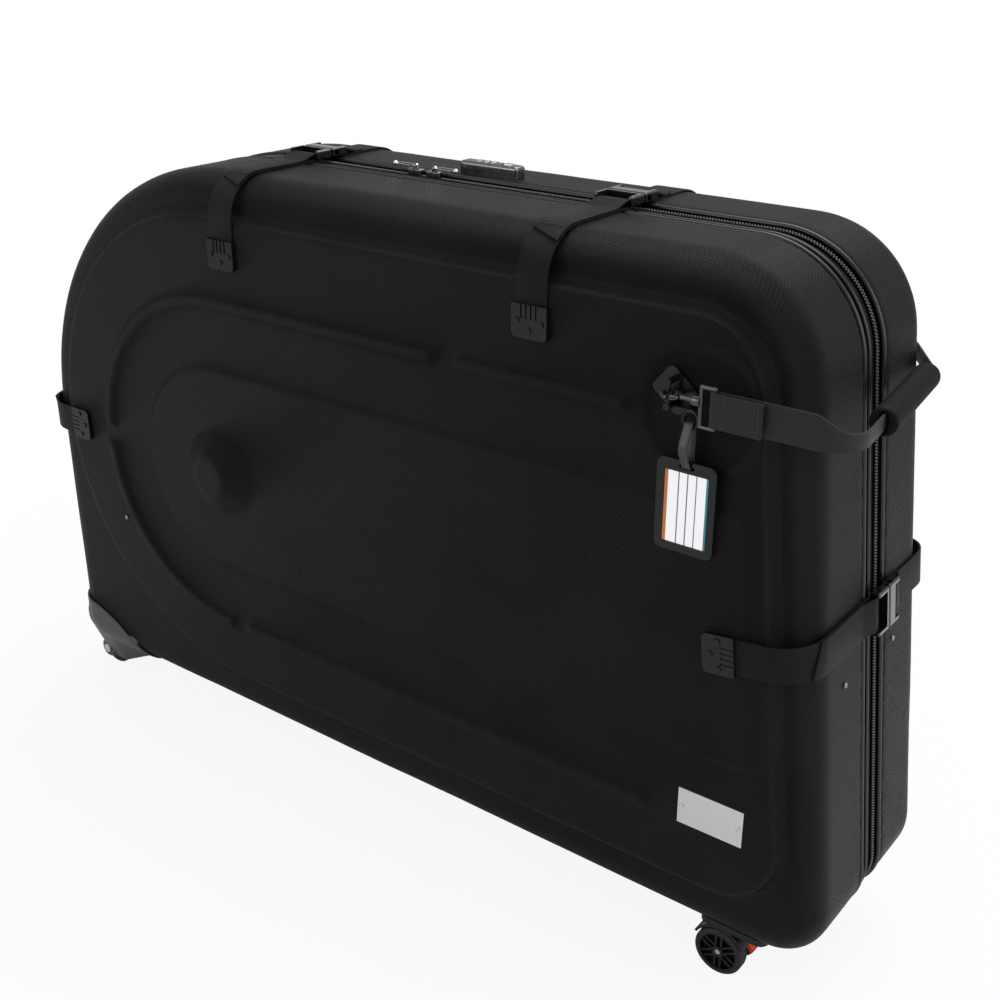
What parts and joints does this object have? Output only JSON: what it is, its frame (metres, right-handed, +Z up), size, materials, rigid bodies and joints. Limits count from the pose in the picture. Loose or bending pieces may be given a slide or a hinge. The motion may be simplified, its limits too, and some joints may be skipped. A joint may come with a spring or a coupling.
{
  "type": "bike travel case",
  "caption": "Hard-sided bike travel case: two moulded fabric-covered half shells with a zip, buckled straps, tow handle, fixed wheels and swivel casters.",
  "frame": {"origin": "on the floor, under the middle of the case's box", "axes": "+X along the case to the tow handle's end, +Y from the front half to the rear half, +Z up"},
  "size_m": [1.2442, 0.358, 0.8357],
  "materials": {
    "ribbed_nylon_shell": "near-black ribbed nylon on moulded foam, soft sheen",
    "zip_tape": "black woven tape",
    "piping": "black welt",
    "webbing": "black webbing",
    "black_plastic": "black moulded plastic, slightly glossy",
    "guard_plastic": "dark grey moulded plastic",
    "steel": "plated steel",
    "black_metal": "black coated metal",
    "chrome_pull": "bright chrome",
    "lock_metal": "satin chrome",
    "grip_fabric": "black padded fabric",
    "tag_leather": "black imitation leather",
    "tag_card": "white card",
    "tag_window": "clear film",
    "brushed_nameplate": "brushed, plain",
    "tyre_rubber": "black rubber",
    "grey_wheel": "grey moulded plastic",
    "red_lever": "red moulded plastic"
  },
  "bodies": {
    "rear_half": {"rear_shell": "ribbed_nylon_shell", "rear_zip_half": "zip_tape", "rear_piping": "piping", "rear_straps": "webbing", "rear_strap_plates": "black_plastic", "rear_rivets": "steel", "rear_inner_straps": "webbing", "rear_wheel_guard": "guard_plastic", "rear_wheel_axle": "steel", "rear_caster_plate": "black_plastic", "rear_tow_webbing": "webbing", "tow_grip": "grip_fabric", "buckle_sockets": "black_plastic", "lock_body": "black_plastic", "hinge_strip": "zip_tape"},
    "front_half": {"front_shell": "ribbed_nylon_shell", "front_zip_half": "zip_tape", "front_piping": "piping", "front_straps": "webbing", "front_strap_plates": "black_plastic", "front_rivets": "steel", "front_inner_straps": "webbing", "front_wheel_guard": "guard_plastic", "front_wheel_axle": "steel", "front_caster_plate": "black_plastic", "front_tow_webbing": "webbing", "front_tow_anchor": "black_plastic", "snap_hook": "black_metal", "nameplate": "brushed_nameplate", "buckle_frames": "black_plastic", "buckle_arms": "black_plastic"},
    "hook_gate": {"hook_gate": "black_metal"},
    "luggage_tag": {"tag_frame": "tag_leather", "tag_card": "tag_card", "tag_window": "tag_window", "tag_strap": "tag_leather"},
    "lock_button": {"lock_button": "lock_metal"},
    "front_wheel": {"front_wheel_hub": "black_plastic", "front_wheel_tyre": "tyre_rubber"},
    "front_caster": {"front_caster_body": "black_plastic", "front_caster_axle": "steel"},
    "front_caster_roll": {"front_caster_wheels": "grey_wheel", "front_caster_tyres": "tyre_rubber"},
    "front_brake": {"front_caster_lever": "red_lever"},
    "rear_wheel": {"rear_wheel_hub": "black_plastic", "rear_wheel_tyre": "tyre_rubber"},
    "rear_caster": {"rear_caster_body": "black_plastic", "rear_caster_axle": "steel"},
    "rear_caster_roll": {"rear_caster_wheels": "grey_wheel", "rear_caster_tyres": "tyre_rubber"},
    "rear_brake": {"rear_caster_lever": "red_lever"},
    "lock_dial_1": {"lock_dial_1": "lock_metal"},
    "lock_dial_2": {"lock_dial_2": "lock_metal"},
    "lock_dial_3": {"lock_dial_3": "lock_metal"},
    "zip_slider_left": {"zip_slider_left": "black_metal"},
    "zip_pull_left": {"zip_pull_left": "chrome_pull"},
    "zip_slider_right": {"zip_slider_right": "black_metal"},
    "zip_pull_right": {"zip_pull_right": "chrome_pull"}
  },
  "joints": [
    {"name": "lid_hinge", "type": "hinge", "parent": "rear_half", "child": "front_half", "pos_m": [0.01294, 0.03, 0.07625], "axis": [1, 0, 0], "range_deg": [0, 90], "deforming": ["hinge_strip", "buckle_arms"]},
    {"name": "front_wheel_spin", "type": "hinge", "parent": "front_half", "child": "front_wheel", "pos_m": [-0.59106, -0.069, 0.031], "axis": [0, 1, 0], "continuous": true},
    {"name": "front_caster_swivel", "type": "hinge", "parent": "front_half", "child": "front_caster", "pos_m": [0.51794, -0.083, 0.069], "axis": [0, 0, 1], "continuous": true},
    {"name": "front_caster_spin", "type": "hinge", "parent": "front_caster", "child": "front_caster_roll", "pos_m": [0.50094, -0.083, 0.0295], "axis": [0, 1, 0], "continuous": true},
    {"name": "front_brake_lever", "type": "hinge", "parent": "front_caster", "child": "front_brake", "pos_m": [0.50994, -0.083, 0.052], "axis": [0, 1, 0], "range_deg": [0, 15]},
    {"name": "rear_wheel_spin", "type": "hinge", "parent": "rear_half", "child": "rear_wheel", "pos_m": [-0.59106, 0.069, 0.031], "axis": [0, 1, 0], "continuous": true},
    {"name": "rear_caster_swivel", "type": "hinge", "parent": "rear_half", "child": "rear_caster", "pos_m": [0.51794, 0.083, 0.069], "axis": [0, 0, 1], "continuous": true},
    {"name": "rear_caster_spin", "type": "hinge", "parent": "rear_caster", "child": "rear_caster_roll", "pos_m": [0.50094, 0.083, 0.0295], "axis": [0, 1, 0], "continuous": true},
    {"name": "rear_brake_lever", "type": "hinge", "parent": "rear_caster", "child": "rear_brake", "pos_m": [0.50994, 0.083, 0.052], "axis": [0, 1, 0], "range_deg": [0, 15]},
    {"name": "dial_1_turn", "type": "hinge", "parent": "rear_half", "child": "lock_dial_1", "pos_m": [0.04694, 0.049, 0.82875], "axis": [1, 0, 0], "continuous": true},
    {"name": "dial_2_turn", "type": "hinge", "parent": "rear_half", "child": "lock_dial_2", "pos_m": [0.05694, 0.049, 0.82875], "axis": [1, 0, 0], "continuous": true},
    {"name": "dial_3_turn", "type": "hinge", "parent": "rear_half", "child": "lock_dial_3", "pos_m": [0.06694, 0.049, 0.82875], "axis": [1, 0, 0], "continuous": true},
    {"name": "lock_button_slide", "type": "slide", "parent": "rear_half", "child": "lock_button", "axis": [-1, 0, 0], "range_m": [0, 0.004], "stiffness_N_per_m": 150},
    {"name": "zip_slide_left", "type": "slide", "parent": "rear_half", "child": "zip_slider_left", "axis": [-1, 0, 0], "range_m": [0, 0.08]},
    {"name": "zip_pull_swing_left", "type": "hinge", "parent": "zip_slider_left", "child": "zip_pull_left", "pos_m": [-0.02306, 0.015, 0.82585], "axis": [0, 1, 0], "range_deg": [0, 150]},
    {"name": "zip_slide_right", "type": "slide", "parent": "rear_half", "child": "zip_slider_right", "axis": [1, 0, 0], "range_m": [0, 0.17]},
    {"name": "zip_pull_swing_right", "type": "hinge", "parent": "zip_slider_right", "child": "zip_pull_right", "pos_m": [0.00494, 0.015, 0.82585], "axis": [0, -1, 0], "range_deg": [0, 150]},
    {"name": "hook_gate_swing", "type": "hinge", "parent": "front_half", "child": "hook_gate", "pos_m": [0.4272, -0.16826, 0.693], "axis": [0, 0, 1], "range_deg": [0, 25], "stiffness_Nm_per_rad": 0.02},
    {"name": "tag_swing", "type": "hinge", "parent": "front_half", "child": "luggage_tag", "pos_m": [0.45378, -0.1589, 0.672], "axis": [0, 1, 0], "range_deg": [-35, 35]}
  ]
}
